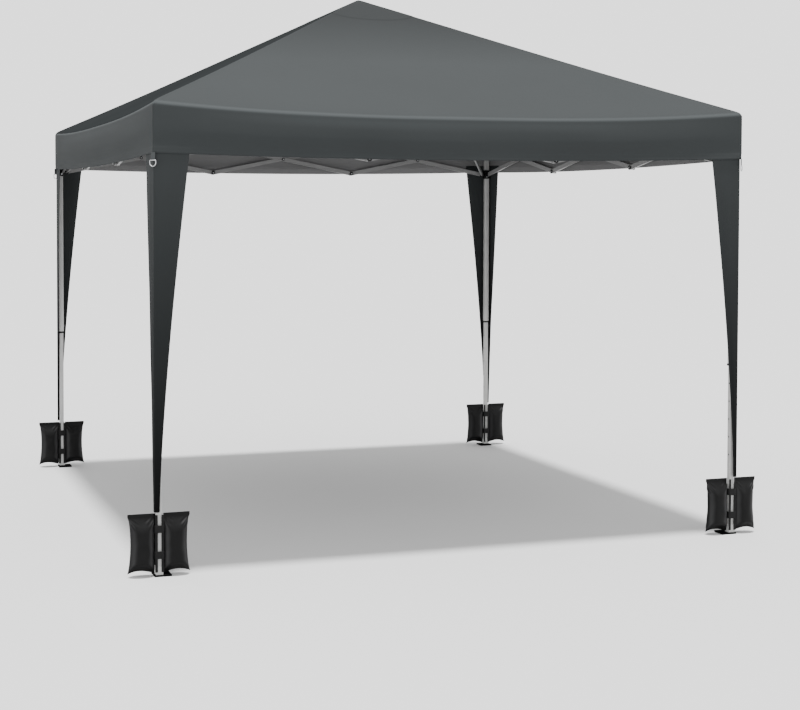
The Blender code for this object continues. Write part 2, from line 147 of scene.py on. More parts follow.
class Graph:
    """A short way to add shader nodes to one material."""

    def __init__(self, name):
        self.material = bpy.data.materials.new(name)
        self.material.use_nodes = True
        self.tree = self.material.node_tree
        self.shader = self.tree.nodes["Principled BSDF"]

    def add(self, kind, inputs=(), **settings):
        node = self.tree.nodes.new(kind)
        for key, value in settings.items():
            setattr(node, key, value)
        for key, value in dict(inputs).items():
            if isinstance(value, bpy.types.NodeSocket):
                self.tree.links.new(value, node.inputs[key])
            else:
                node.inputs[key].default_value = value
        return node

    def link(self, socket, name):
        self.tree.links.new(socket, self.shader.inputs[name])

    def set(self, **values):
        for key, value in values.items():
            self.shader.inputs[key.replace("_", " ")].default_value = value

    def position(self):
        return self.add("ShaderNodeTexCoord").outputs["Object"]

    def noise(self, scale, detail=3.0, vector=None):
        inputs = {"Scale": scale, "Detail": detail, "Vector": vector or self.position()}
        return self.add("ShaderNodeTexNoise", inputs).outputs["Fac"]

    def ramp(self, value, low, high, to_low=0.0, to_high=1.0):
        inputs = {0: value, 1: low, 2: high, 3: to_low, 4: to_high}
        return self.add("ShaderNodeMapRange", inputs).outputs[0]

    def mix(self, factor, first, second):
        node = self.add("ShaderNodeMix", data_type="RGBA")
        for index, value in ((0, factor), (6, first), (7, second)):
            if isinstance(value, bpy.types.NodeSocket):
                self.tree.links.new(value, node.inputs[index])
            else:
                node.inputs[index].default_value = value
        return node.outputs[2]

    def height_axis(self):
        parts = self.add("ShaderNodeSeparateXYZ", {0: self.position()})
        return parts.outputs["Z"]

    def facing(self, axis):
        """How far the surface's own normal lies along an axis."""
        normal = self.add("ShaderNodeNewGeometry").outputs["Normal"]
        return self.add("ShaderNodeSeparateXYZ", {0: normal}).outputs[axis]

    def product(self, first, second):
        node = self.add("ShaderNodeMath", {0: first, 1: second}, operation="MULTIPLY")
        return node.outputs[0]

    def bump(self, height, distance, strength=1.0):
        inputs = {"Height": height, "Distance": distance, "Strength": strength}
        self.link(self.add("ShaderNodeBump", inputs).outputs[0], "Normal")


def rgba(red, green, blue):
    return (red, green, blue, 1.0)


def scaled(colour, factor):
    return rgba(*(channel * factor for channel in colour[:3]))


def weave(graph, threads=620.0):
    """The height of a plain weave: two crossing sets of fine threads."""
    position = graph.position()
    bands = []
    for direction in ("X", "Z"):
        inputs = {"Vector": position, "Scale": threads, "Distortion": 0.3}
        node = graph.add("ShaderNodeTexWave", inputs, bands_direction=direction)
        bands.append(node.outputs["Fac"])
    return graph.product(*bands)


def roof_painted_light(graph, cloth, colour):
    """A roof's painted light: painted shade where it faces upward and towards its peak, and a
    painted highlight along its rounded eaves.
    """
    upward = graph.facing("Z")
    # painted shade: up-facing roof cloth is a little darker than the valance
    panel = graph.ramp(upward, 0.7, 0.86, 0.0, 0.4)
    cloth = graph.mix(panel, cloth, scaled(colour, 0.75))
    # painted shade: darker towards the peak
    peak_shade = graph.ramp(graph.height_axis(), 2.38, 2.68)
    cloth = graph.mix(peak_shade, cloth, scaled(colour, 0.54))
    # painted highlight where the eave's rounding leans between up and out
    bend = graph.product(graph.ramp(upward, 0.06, 0.35), graph.ramp(upward, 0.85, 0.6))
    return graph.mix(bend, cloth, scaled(colour, 1.55))


def polyester(name, colour, painted_foot_shade=None, roof=False, gloss=0.04):
    """Woven polyester. Its foot shade is painted shade: between the two heights given, a drape fades
    from near black at its foot to its own colour.
    """
    graph = Graph(name)
    tone = graph.noise(1.7, 4.0)
    cloth = graph.mix(tone, scaled(colour, 0.9), scaled(colour, 1.1))
    if painted_foot_shade:
        # painted shade, near black at the foot of a drape
        high = graph.ramp(graph.height_axis(), *painted_foot_shade)
        cloth = graph.mix(high, scaled(colour, 0.03), cloth)
    # painted shade and a painted highlight on the roof
    if roof:
        cloth = roof_painted_light(graph, cloth, colour)
    graph.link(cloth, "Base Color")
    graph.set(Roughness=0.75, Specular_IOR_Level=gloss)
    graph.bump(weave(graph), 0.00012, 0.35)
    return graph.material


def satin_nylon(name, colour):
    """Dense nylon with a painted highlight: paler where it faces sideways, along the sides of a
    filled pocket.
    """
    graph = Graph(name)
    tone = graph.noise(24.0, 3.0)
    cloth = graph.mix(tone, scaled(colour, 0.8), scaled(colour, 1.25))
    sideways = graph.add("ShaderNodeMath", {0: graph.facing("X")}, operation="ABSOLUTE").outputs[0]
    # painted highlight on sideways-facing faces, standing in for the nylon's sheen
    painted_sheen = graph.product(graph.ramp(sideways, 0.22, 0.5), graph.ramp(sideways, 0.92, 0.7))
    graph.link(graph.mix(painted_sheen, cloth, scaled(colour, 4.0)), "Base Color")
    graph.set(Roughness=0.46, Specular_IOR_Level=0.09)
    graph.bump(weave(graph, 800.0), 0.0001, 0.3)
    return graph.material


def webbing(name, colour):
    """Ribbed woven tape."""
    graph = Graph(name)
    inputs = {"Vector": graph.position(), "Scale": 260.0, "Distortion": 0.2}
    ribs = graph.add("ShaderNodeTexWave", inputs, bands_direction="Z").outputs["Fac"]
    graph.link(graph.mix(ribs, scaled(colour, 0.6), colour), "Base Color")
    graph.set(Roughness=0.7, Specular_IOR_Level=0.15)
    graph.bump(ribs, 0.0003, 0.6)
    return graph.material


def painted_steel(name, colour, black_above=None, black_below=None):
    """Powder-coated steel.

    It is black plastic above or below a height, where one CAD node holds both.
    """
    edge_blur = 0.0004
    graph = Graph(name)
    grime = graph.ramp(graph.noise(14.0, 6.0), 0.35, 0.75)
    coat = graph.mix(grime, scaled(colour, 0.86), colour)
    roughness = graph.ramp(graph.noise(60.0, 2.0), 0.3, 0.7, 0.34, 0.46)
    for edge, above in ((black_above, True), (black_below, False)):
        if edge is None:
            continue
        ends = (edge, edge + edge_blur) if above else (edge + edge_blur, edge)
        mask = graph.ramp(graph.height_axis(), *ends)
        coat = graph.mix(mask, coat, rgba(0.006, 0.006, 0.0065))
    graph.link(coat, "Base Color")
    graph.link(roughness, "Roughness")
    graph.set(Specular_IOR_Level=0.5, Coat_Weight=0.15, Coat_Roughness=0.3)
    graph.bump(graph.noise(900.0, 2.0), 0.00012, 0.25)
    return graph.material


def moulded_plastic(name, colour, roughness=0.48, gloss=0.2):
    """Black plastic or rubber with a fine grain."""
    graph = Graph(name)
    tone = graph.noise(30.0, 4.0)
    graph.link(graph.mix(tone, scaled(colour, 0.8), scaled(colour, 1.3)), "Base Color")
    graph.set(Roughness=roughness, Specular_IOR_Level=gloss)
    graph.bump(graph.noise(700.0, 2.0), 0.0001, 0.3)
    return graph.material


def zinc(name):
    """Zinc plate, duller in patches."""
    graph = Graph(name)
    tone = graph.noise(90.0, 4.0)
    graph.link(graph.mix(tone, rgba(0.30, 0.30, 0.31), rgba(0.50, 0.51, 0.52)), "Base Color")
    graph.set(Metallic=1.0, Roughness=0.3)
    return graph.material


CANOPY_GREY = rgba(0.0243, 0.0268, 0.0275)
LEG_GREY = rgba(0.32, 0.32, 0.315)
# painted shade: the bars and rafters under the canopy are painted a darker grey than the legs, in
# the same powder coat
SHADED_BAR_GREY = rgba(0.12, 0.12, 0.12)
BLACK = rgba(0.0035, 0.0035, 0.0036)

ROOF = polyester("roof_polyester", CANOPY_GREY, roof=True)
# a darker copy of the roof cloth, painted shade for the left roof face
ROOF_PAINTED_SHADE = polyester("roof_polyester_painted_shade", scaled(CANOPY_GREY, 0.5), gloss=0.0)
ROOF_SEAM = polyester("roof_seam", scaled(CANOPY_GREY, 0.46))
LINING = polyester("coated_underside", rgba(0.115, 0.115, 0.116), gloss=0.0)
DRAPE = polyester("drape_polyester", scaled(CANOPY_GREY, 0.92), painted_foot_shade=(0.25, 1.9))
NYLON = satin_nylon("bag_nylon", BLACK)
STRAP = webbing("black_webbing", BLACK)
TAB = webbing("grey_webbing", scaled(CANOPY_GREY, 1.6))
# painted shade: the darker coat of the bars and rafters under the canopy
STEEL = painted_steel("powder_coat", SHADED_BAR_GREY)
UPPER_LEG = painted_steel("upper_leg_coat", LEG_GREY, black_above=2.0275)
LOWER_LEG = painted_steel("lower_leg_coat", LEG_GREY, black_below=0.0065)
PLASTIC = moulded_plastic("black_plastic_grain", BLACK)
RUBBER = moulded_plastic("foot_rubber", BLACK, 0.9, 0.0)
ZINC = zinc("zinc_plate")

# The canopy's outer cloths, each followed by what its underside shows
CANOPY_CLOTHS = (ROOF, LINING, ROOF_PAINTED_SHADE, LINING, ROOF_SEAM, LINING)


# ---------------------------------------------------------------- mesh helpers


def linked(name, data):
    """A new object of the scene that shows this data."""
    obj = bpy.data.objects.new(name, data)
    bpy.context.scene.collection.objects.link(obj)
    return obj


def mesh_piece(name, points, faces, *materials):
    data = bpy.data.meshes.new(name)
    data.from_pydata([tuple(point) for point in points], [], faces)
    for material in materials:
        data.materials.append(material)
    data.shade_smooth()
    return linked(name, data)


def grid_faces(rows, columns, start=0):
    """Quads over a grid of points that were listed row by row from index start."""
    faces = []
    for row in range(rows - 1):
        for column in range(columns - 1):
            a = start + row * columns + column
            b = a + columns
            faces.append((a, b, b + 1, a + 1))
    return faces


def weld(obj, distance=0.0002, outward=None):
    """Joins points that meet and turns every face to one side.

    outward(point) is the way out of an open sheet at a point.
    """
    mesh = bmesh.new()
    mesh.from_mesh(obj.data)
    bmesh.ops.remove_doubles(mesh, verts=mesh.verts, dist=distance)
    bmesh.ops.recalc_face_normals(mesh, faces=mesh.faces)
    if outward:
        agreement = sum(f.normal.dot(outward(f.calc_center_median())) for f in mesh.faces)
        if agreement < 0:
            bmesh.ops.reverse_faces(mesh, faces=mesh.faces)
    mesh.to_mesh(obj.data)
    mesh.free()


def add_lathe(mesh, centre, axis, profile, sides=16):
    """Adds a closed turned shape to a bmesh.

    profile is (radius, distance along the axis) from end to end.
    """
    turn = axis.to_track_quat("Z", "X").to_matrix()
    rings = []
    for radius, along in profile:
        ring = []
        for step in range(sides):
            angle = 2 * math.pi * step / sides
            local = Vector((radius * math.cos(angle), radius * math.sin(angle), along))
            ring.append(mesh.verts.new(centre + turn @ local))
        rings.append(ring)
    for low, high in zip(rings, rings[1:]):
        for step in range(sides):
            after = (step + 1) % sides
            mesh.faces.new((low[step], low[after], high[after], high[step]))
    mesh.faces.new(list(reversed(rings[0])))
    mesh.faces.new(rings[-1])


def lathe_piece(name, shapes, material, sides=16):
    """One mesh of several turned shapes, each (centre, axis, profile)."""
    mesh = bmesh.new()
    for centre, axis, profile in shapes:
        add_lathe(mesh, centre, axis, profile, sides)
    bmesh.ops.recalc_face_normals(mesh, faces=mesh.faces)
    data = bpy.data.meshes.new(name)
    mesh.to_mesh(data)
    mesh.free()
    data.materials.append(material)
    data.shade_smooth()
    obj = linked(name, data)
    edges = obj.modifiers.new("edges", "EDGE_SPLIT")
    edges.split_angle = math.radians(38)
    return obj


def dome(radius, height, base=0.0):
    """A low pan head from base outward."""
    steps = 4
    profile = [(radius, base), (radius, base + 0.4 * height)]
    for step in range(1, steps + 1):
        angle = 0.5 * math.pi * step / steps
        out = max(radius * math.cos(angle), TIP_RADIUS)
        profile.append((out, base + height * (0.4 + 0.6 * math.sin(angle))))
    return profile


def bushing(radius, height, base):
    """A flat plastic washer with a soft rim, from base outward."""
    soft = 0.2 * height
    return [
        (radius, base),
        (radius, base + height - soft),
        (radius - soft, base + height),
        (TIP_RADIUS, base + height),
    ]


def wire_piece(name, points, radius, material):
    """A closed ring of round wire through points."""
    data = bpy.data.curves.new(name, "CURVE")
    data.dimensions = "3D"
    data.bevel_depth = radius
    data.bevel_resolution = 3
    line = data.splines.new("POLY")
    line.points.add(len(points) - 1)
    for place, point in zip(line.points, points):
        place.co = (*point, 1.0)
    line.use_cyclic_u = True
    line.use_smooth = True
    data.materials.append(material)
    return linked(name, data)


def add_box(mesh, centre, half, turn=None):
    """Adds a box of the given half sizes to a bmesh."""
    for vertex in bmesh.ops.create_cube(mesh, size=2.0)["verts"]:
        local = Vector(vertex.co[i] * half[i] for i in range(3))
        vertex.co = centre + (turn @ local if turn else local)


def box_piece(name, boxes, material, rounding):
    """One mesh of several rounded boxes, each (centre, half sizes, turn or None)."""
    mesh = bmesh.new()
    for centre, half, turn in boxes:
        add_box(mesh, centre, half, turn)
    data = bpy.data.meshes.new(name)
    mesh.to_mesh(data)
    mesh.free()
    data.materials.append(material)
    obj = linked(name, data)
    bevel = obj.modifiers.new("rounding", "BEVEL")
    bevel.width = rounding
    bevel.segments = 2
    obj.modifiers.new("shading", "WEIGHTED_NORMAL")
    return obj


def subdivide(obj):
    modifier = obj.modifiers.new("smooth", "SUBSURF")
    modifier.levels = 1
    modifier.render_levels = 1


def thicken(obj, thickness, offset=-1.0, back=0):
    """Gives a sheet its thickness. Its other face takes the material back slots further on."""
    modifier = obj.modifiers.new("cloth", "SOLIDIFY")
    modifier.thickness = thickness
    modifier.offset = offset
    modifier.material_offset = back
    modifier.use_quality_normals = True


def hook(obj, body, weights):
    """The points of obj follow a body by their weight. At rest nothing moves."""
    group = obj.vertex_groups.new(name="to_" + body)
    for index, weight in enumerate(weights):
        if weight > 1e-4:
            group.add([index], float(weight), "REPLACE")
    modifier = obj.modifiers.new("follow_" + body, "HOOK")
    modifier.object = frame["bodies"][body]
    modifier.vertex_group = group.name
    modifier.matrix_inverse = modifier.object.matrix_world.inverted() @ obj.matrix_world


def placed(obj, body):
    """The piece moves with a body."""
    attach(obj, body)


def smoothstep(value):
    """Runs smoothly from 0 to 1 while value does, and stays level outside."""
    value = min(1.0, max(0.0, value))
    return value * value * (3 - 2 * value)


# ---------------------------------------------------------------- canopy


def seam_columns():
    """Positions across a side from -1 to 1: evenly spaced, and closer beside the two hip seams."""
    offsets = np.array([0.0, 0.007, 0.0105, 0.03, 0.075]) / CANOPY_HALF  # metres from the hip
    inner = np.linspace(-1, 1, 25)[2:-2]
    return np.concatenate([-1 + offsets, inner, 1 - offsets[::-1]])


def roof_point(u, s, sag):
    """A point of the front roof face: u runs from the peak (0) to the eave (1), s across it."""
    drop = (PEAK_Z - EAVE_CORNER_Z) * u
    hip = HIP_SAG * math.sin(math.pi * u**1.6)
    free = 1 - abs(s) ** SAG_POWER
    slack = free * (sag * u**3 + ROOF_SAG * math.sin(math.pi * u))
    ripple = ROOF_RIPPLE * noise.noise(Vector((3.1 * s * u, 2.2 * u, 0.7))) * (1 - s**4) * u
    out = u * CANOPY_HALF
    return Vector((s * out, -out, PEAK_Z - drop - hip - slack + ripple))


def eave_height(s, sag):
    """The height of the bend between roof and valance, which sags between the corners."""
    return EAVE_CORNER_Z - sag * (1 - abs(s) ** SAG_POWER)


def hem_height(s):
    return HEM_CORNER_Z - HEM_SAG * (1 - s * s)


def valance_fold(s, v):
    """How far the valance stands behind its plane, at s across and v down from its top.

    It bellies outward and tucks in above its hem. Long soft folds cross it and fade out at the
    corners. It stays clear of the truss and the drapes behind it.
    """
    free = (1 - s * s) ** 0.5
    phase = 1.15 * v + 0.30 * s * s + 0.1 * s
    folds = VALANCE_FOLDS * math.sin(2 * math.pi * phase) * smoothstep((v - 0.2) / 0.5)
    ripple = VALANCE_RIPPLE * v * noise.noise(Vector((2.4 * s, 1.7 * v, 4.2)))
    belly = VALANCE_BELLY * math.sin(math.pi * min(v / BELLY_END, 1.0))
    tuck = VALANCE_TUCK * smoothstep((v - 0.5) / 0.35) * smoothstep((1.0 - v) / 0.14)
    beside_drape = smoothstep((abs(s) - 0.7) / 0.12)
    room = VALANCE_ROOM + (DRAPE_ROOM - VALANCE_ROOM) * beside_drape
    return min(free * (folds + ripple - belly + tuck), room)


def side_section(s, sag):
    """The points of one column, from beside the peak down to the hem."""
    patch = PATCH_AT_HIP + PATCH_BULGE * (1 - s * s)
    step = SEAM_WIDTH / CANOPY_HALF
    upper = [0.012, 0.05, 0.1, patch - 0.02, patch - step]
    lower = list(np.linspace(patch + step, 1 - EAVE_ROUNDING / CANOPY_HALF, 15))
    points = []
    for u in upper:
        points.append(roof_point(u, s, sag) + PATCH_STEP * Z_AXIS)
    for u in [patch] + lower:
        points.append(roof_point(u, s, sag))
    above = points[-1]
    corner = Vector((s * CANOPY_HALF, -CANOPY_HALF, eave_height(s, sag)))
    below = corner - EAVE_ROUNDING * Z_AXIS
    for q in (0.3, 0.55, 0.8):
        points.append((1 - q) ** 2 * above + 2 * q * (1 - q) * corner + q * q * below)
    top, bottom = below.z, hem_height(s)
    hem = 1 - HEM_HEIGHT / (top - bottom)
    for v in (0.0, 0.14, 0.28, 0.42, 0.55, 0.67, 0.78, hem - 0.012, hem, 0.93, 1.0):
        back = valance_fold(s, v) + (HEM_STEP if v < hem else 0.0)
        out = CANOPY_HALF - back
        points.append(Vector((s * CANOPY_HALF, -out, top + v * (bottom - top))))
    return points


def seam_lift(s):
    """How far the fell seam along a hip raises a column of the cloth."""
    gap = (1 - abs(s)) * CANOPY_HALF
    return HIP_SEAM_LIFT if 0.0 < gap < HIP_SEAM_WIDTH else 0.0


def canopy_mesh():
    """Points, faces, and the indices of the faces along the edge of the peak patch."""
    columns = seam_columns()
    cells = len(columns) - 1
    roof_normal = Vector((0, -0.42, 0.9))
    points, faces, seams = [], [], []
    for quarter in range(4):
        turn = Matrix.Rotation(0.5 * math.pi * quarter, 3, "Z")
        sections = []
        for s in columns:
            lift = seam_lift(s) * roof_normal
            section = side_section(s, EAVE_SAGS[quarter])
            sections.append([turn @ (point + lift) for point in section])
        rows = len(sections[0])
        start = len(points)
        for row in range(rows):
            for section in sections:
                points.append(section[row])
        seams += range(len(faces) + SEAM_ROW * cells, len(faces) + (SEAM_ROW + 1) * cells)
        faces += grid_faces(rows, len(columns), start)
        tip = len(points)
        points.append(Vector((0, 0, PEAK_Z + 0.0005)))
        for column in range(cells):
            faces.append((start + column, start + column + 1, tip))
    return points, faces, seams


def tone_panels(canopy, seams):
    """The patch's seams are darker, and the left roof face takes a darker copy of the roof cloth as
    painted shade.
    """
    for index in seams:
        canopy.data.polygons[index].material_index = CANOPY_CLOTHS.index(ROOF_SEAM)
    for face in canopy.data.polygons:
        middle = face.center
        leftmost = -middle.x > abs(middle.y)
        # painted shade on the left roof face
        if leftmost and face.normal.z > 0.5:
            face.material_index = CANOPY_CLOTHS.index(ROOF_PAINTED_SHADE)


def plan_weights(point):
    """How much a point of the canopy belongs to each leg, by where it is in plan."""
    across = min(1.0, max(0.0, 0.5 + 0.5 * point.x / LEG_AXIS))
    along = min(1.0, max(0.0, 0.5 + 0.5 * point.y / LEG_AXIS))
    return {
        "front_left": (1 - across) * (1 - along),
        "front_right": across * (1 - along),
        "back_left": (1 - across) * along,
        "back_right": across * along,
    }


def hub_weight(point):
    """How much a point follows the hub: wholly at the peak, little past halfway down the roof."""
    out = min(1.0, max(abs(point.x), abs(point.y)) / CANOPY_HALF)
    return (1 - out) ** 3


def sink_weight(point):
    """How far cloth sinks with the sliders as the frame folds.

    The roof comes down with its hub until it lies level with the leg tops, and the cloth between
    the truss's upper pivots hangs in pleats.
    """
    reach = max(abs(point.x), abs(point.y))
    out = min(1.0, reach / CANOPY_HALF)
    level = HUB_DROP_SHARE * (1 - out)
    s = min(abs(point.x), abs(point.y)) / max(reach, 0.01)
    valley = abs(math.sin(1.5 * math.pi * (s + 1))) ** 3
    room = smoothstep((out - 0.08) / 0.4) * (1 - 0.75 * smoothstep((out - 0.65) / 0.35))
    pleat = PLEAT_DROP_SHARE * valley * room
    return min(1.0, level + pleat)


def follow_frame(obj):
    """The canopy stays on its legs and its hub as they draw together, and sinks in pleats."""
    hubs, legs, sliders = [], {name: [] for name in CORNERS}, {name: [] for name in CORNERS}
    for vertex in obj.data.vertices:
        share, hub, sink = plan_weights(vertex.co), hub_weight(vertex.co), sink_weight(vertex.co)
        hubs.append(hub)
        for name in CORNERS:
            legs[name].append(share[name] * (1 - hub) * (1 - sink))
            sliders[name].append(share[name] * (1 - hub) * sink)
    hook(obj, "center_hub", hubs)
    for name in CORNERS:
        hook(obj, "slider_" + name, sliders[name])
        if name != "front_left":
            hook(obj, "upper_leg_" + name, legs[name])


def build_canopy():
    """Roof and valance as one sewn sheet, hung on the hub and the four corners of the frame."""
    points, faces, seams = canopy_mesh()
    canopy = mesh_piece("canopy_cloth", points, faces, *CANOPY_CLOTHS)
    weld(canopy, outward=lambda point: point - Vector((0, 0, 1)))
    tone_panels(canopy, seams)
    placed(canopy, "upper_leg_front_left")
    follow_frame(canopy)
    subdivide(canopy)
    thicken(canopy, CLOTH_THICKNESS, back=1)
    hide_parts("canopy")


# ---------------------------------------------------------------- leg drapes


def drape_width(z):
    """The width of each of a drape's two flaps at a height."""
    high = (z - DRAPE_FOOT_Z) / (DRAPE_TOP_Z - DRAPE_FOOT_Z)
    return DRAPE_FOOT_WIDTH + (DRAPE_TOP_WIDTH - DRAPE_FOOT_WIDTH) * high**DRAPE_TAPER


def flap_point(along, z, width, seed):
    """(distance from the corner, depth behind the outer plane) of a point on one flap.

    Its waves stand outward only, because the slider passes close behind it.
    """
    t = along / width
    high = (z - DRAPE_FOOT_Z) / (DRAPE_TOP_Z - DRAPE_FOOT_Z)
    wave = 0.5 - 0.5 * math.cos(2 * math.pi * (1.15 * t + 0.13 * math.sin(3 * high + seed)))
    hang = abs(noise.noise(Vector((2.0 * t, 1.6 * z, seed))))
    free = smoothstep(along / 0.03) * smoothstep((DRAPE_FLAT_Z - z) / 0.12)
    return along, -free * t * (DRAPE_WAVE * wave * high**0.5 + DRAPE_HANG * hang)


def drape_row(corner, z, seed):
    """One row across both flaps, from one free edge round the corner to the other."""
    width = drape_width(z)
    inner = list(np.linspace(DRAPE_ROUNDING, width - DRAPE_HEM, 7))
    distances = [width, width - 0.35 * DRAPE_HEM] + inner[::-1]
    first = [flap_point(d, z, width, seed) for d in distances]
    second = [flap_point(d, z, width, seed + 9.0) for d in distances[::-1]]
    cut = 0.29 * DRAPE_ROUNDING  # how far the middle of a rounded corner stands in from a sharp one
    row = [(DRAPE_FACE - d, -(DRAPE_FACE - depth)) for d, depth in first]
    row.append((DRAPE_FACE - cut, -(DRAPE_FACE - cut)))
    row += [(DRAPE_FACE - depth, -(DRAPE_FACE - d)) for d, depth in second]
    return [Vector((corner.x * x, -corner.y * y, z)) for x, y in row]


def build_drape(name, corner):
    """A tapered cloth folded round its leg's corner, which gathers as the lower leg slides up."""
    seed = 1.0 + 2.0 * corner.x + 0.7 * corner.y
    heights = list(np.linspace(DRAPE_FOOT_Z, DRAPE_TOP_Z, 30))
    heights.insert(1, DRAPE_FOOT_Z + 0.008)
    rows = [drape_row(corner, z, seed) for z in heights]
    points = [point for row in rows for point in row]
    faces = grid_faces(len(rows), len(rows[0]))
    drape = mesh_piece("drape_" + name, points, faces, DRAPE)
    weld(drape, 0.00005, outward=lambda point: corner)
    placed(drape, "upper_leg_" + name)
    span = DRAPE_TOP_Z - DRAPE_FOOT_Z
    hook(drape, "lower_leg_" + name, [(DRAPE_TOP_Z - v.co.z) / span for v in drape.data.vertices])
    subdivide(drape)
    thicken(drape, CLOTH_THICKNESS)
    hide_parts("leg_drape_" + name)


# ---------------------------------------------------------------- weight bags


def crease_depth(x, z):
    """How deep the diagonal creases that run out of the pocket's corners are at (x, z) metres."""
    width, height = BAG_OUTER - BAG_INNER, BAG_TOP - BAG_BOTTOM - TOP_BAND
    place = Vector((x, z))
    total = 0.0
    for x1, z1, x2, z2, depth in CREASES:
        start = Vector((x1 * width, z1 * height))
        run = Vector((x2 * width, z2 * height)) - start
        along = min(1.0, max(0.0, (place - start).dot(run) / run.length_squared))
        gap = (place - start - along * run).length
        valley = math.exp(-((gap / 0.0042) ** 2))
        ridge = 0.55 * math.exp(-(((gap - 0.0085) / 0.0050) ** 2))
        total += CREASE_SCALE * depth * (valley - ridge) * (1 - along) ** 0.6
    return total


def pocket_outline(across, up):
    """(x, z) of a point of a pocket between its seams. up is 1 under the hem."""
    draw = OUTER_DRAW * math.sin(math.pi * up) ** 0.55 + TOP_DRAW * up
    outer = BAG_OUTER - draw
    inner = BAG_INNER + INNER_DRAW * math.sin(math.pi * up)
    low = BAG_BOTTOM + BOTTOM_ARCH * math.sin(math.pi * across**1.15) ** 0.9
    high = BAG_TOP - TOP_BAND
    return inner + across * (outer - inner), low + up * (high - low)


def pocket_swell(across, up):
    """Half the thickness of a filled pocket, as a share of BAG_DEPTH."""
    side = max(0.0, 1 - abs(2 * across - 1) ** 2.6) ** 0.62
    sag = 0.20 * math.sin(math.pi * across) ** 0.8
    shoulder = smoothstep((1 - up) / (0.10 + sag)) ** 0.8
    foot = smoothstep(up / 0.16) ** 0.7
    fuller_low = 1.0 - 0.16 * up
    return side * shoulder * foot * fuller_low


def pocket_layer(side):
    """One face of a filled pocket, hem included."""
    points = []
    filled_rows = POCKET_ROWS - 1 - HEM_ROWS
    for row in range(POCKET_ROWS):
        up = row / filled_rows
        for column in range(POCKET_COLUMNS):
            across = column / (POCKET_COLUMNS - 1)
            x, z = pocket_outline(across, min(up, 1.0))
            swell = BAG_DEPTH * pocket_swell(across, min(up, 1.0))
            if up > 1.0:
                z += TOP_BAND * (row - filled_rows) / HEM_ROWS
            uneven = noise.noise(Vector((28 * x, 9 * side, 22 * z)))
            lump = LUMPS * uneven * min(1.0, swell / 0.01)
            crease = crease_depth(x - BAG_INNER, z - BAG_BOTTOM) * min(1.0, swell / 0.006)
            depth = max(SEWN_HALF, swell + lump - crease)
            border = column in (0, POCKET_COLUMNS - 1) or row in (0, POCKET_ROWS - 1)
            points.append((x, 0.0 if border else side * depth, z))
    return points


def pocket_points():
    """Both faces of a filled pocket, joined along their border."""
    points = pocket_layer(-1) + pocket_layer(1)
    count = POCKET_ROWS * POCKET_COLUMNS
    faces = [face[::-1] for face in grid_faces(POCKET_ROWS, POCKET_COLUMNS)]
    faces += grid_faces(POCKET_ROWS, POCKET_COLUMNS, count)
    return np.array(points), faces


def build_bag(name, corner, pocket, faces):
    """A pocket on each side of the leg, the second turned about it, as one filled piece."""
    leg = np.array([corner.x * LEG_AXIS, corner.y * LEG_AXIS, 0.0])
    mirrored = pocket * np.array([-1, -1, 1])
    points = np.concatenate([pocket, mirrored]) + leg
    count = len(pocket)
    both = faces + [tuple(i + count for i in face) for face in faces]
    bag = mesh_piece("sand_bag_" + name, points, both, NYLON)
    weld(bag, 0.00005)
    placed(bag, "lower_leg_" + name)
    subdivide(bag)
    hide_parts("weight_bag_" + name)


def loop_outline(half, corner_radius):
    """A rounded square about the leg, as (x, y) points."""
    steps = 5
    outline = []
    for quarter in range(4):
        turn = 0.5 * math.pi * quarter
        middle = half - corner_radius
        for step in range(steps):
            angle = turn + 0.5 * math.pi * step / (steps - 1)
            x = middle * (1 if quarter in (0, 3) else -1) + corner_radius * math.cos(angle)
            y = middle * (1 if quarter in (0, 1) else -1) + corner_radius * math.sin(angle)
            outline.append((x, y))
    return outline


def build_bag_straps(name, corner):
    """Two webbing loops that hold the pockets to the leg, and the tapes on the pockets' edges."""
    centre = corner * LEG_AXIS
    points, faces = [], []
    for level in STRAP_LEVELS:
        middle = BAG_TOP - level * (BAG_TOP - BAG_BOTTOM)
        heights = [middle + offset for offset in (-0.0165, -0.015, 0.0, 0.015, 0.0165)]
        outline = loop_outline(0.0218, 0.006)
        outline.append(outline[0])
        start = len(points)
        for z in heights:
            points += [centre + Vector((x, y, z)) for x, y in outline]
        faces += grid_faces(len(heights), len(outline), start)
    straps = mesh_piece("bag_straps_" + name, points, faces, STRAP)
    weld(straps, 0.00005)
    placed(straps, "lower_leg_" + name)
    thicken(straps, 0.0016, offset=0.0)
    tapes = []
    tape_half = Vector((0.0060, 0.0009, 0.129))
    for x in (-0.0142, 0.0142):
        for y in (-0.0196, 0.0196):
            tapes.append((centre + Vector((x, y, 0.149)), tape_half, None))
    binding = box_piece("bag_binding_" + name, tapes, STRAP, 0.0006)
    placed(binding, "lower_leg_" + name)


# ---------------------------------------------------------------- trims on the frame


def side_frame(side):
    """(ground point under the side's first pivot, direction along the side, direction outward)."""
    first, last = (CORNERS[name] for name in SIDES[side])
    along = (last - first).normalized()
    outward = Vector((first.x + last.x, first.y + last.y, 0)).normalized()
    return first * LEG_AXIS + along * PIVOT_INSET, along, outward


def truss_pivots(side, crossing):
    """The upper, middle and lower pivots of a falling bar."""
    pitch = 2 * (LEG_AXIS - PIVOT_INSET) / CROSSINGS
    ground, along, _ = side_frame(side)
    top = ground + along * pitch * (crossing - 1) + Z_AXIS * TOP_PIVOT_Z
    low = ground + along * pitch * crossing + Z_AXIS * SLIDER_PIVOT_Z
    return top, (top + low) / 2, low


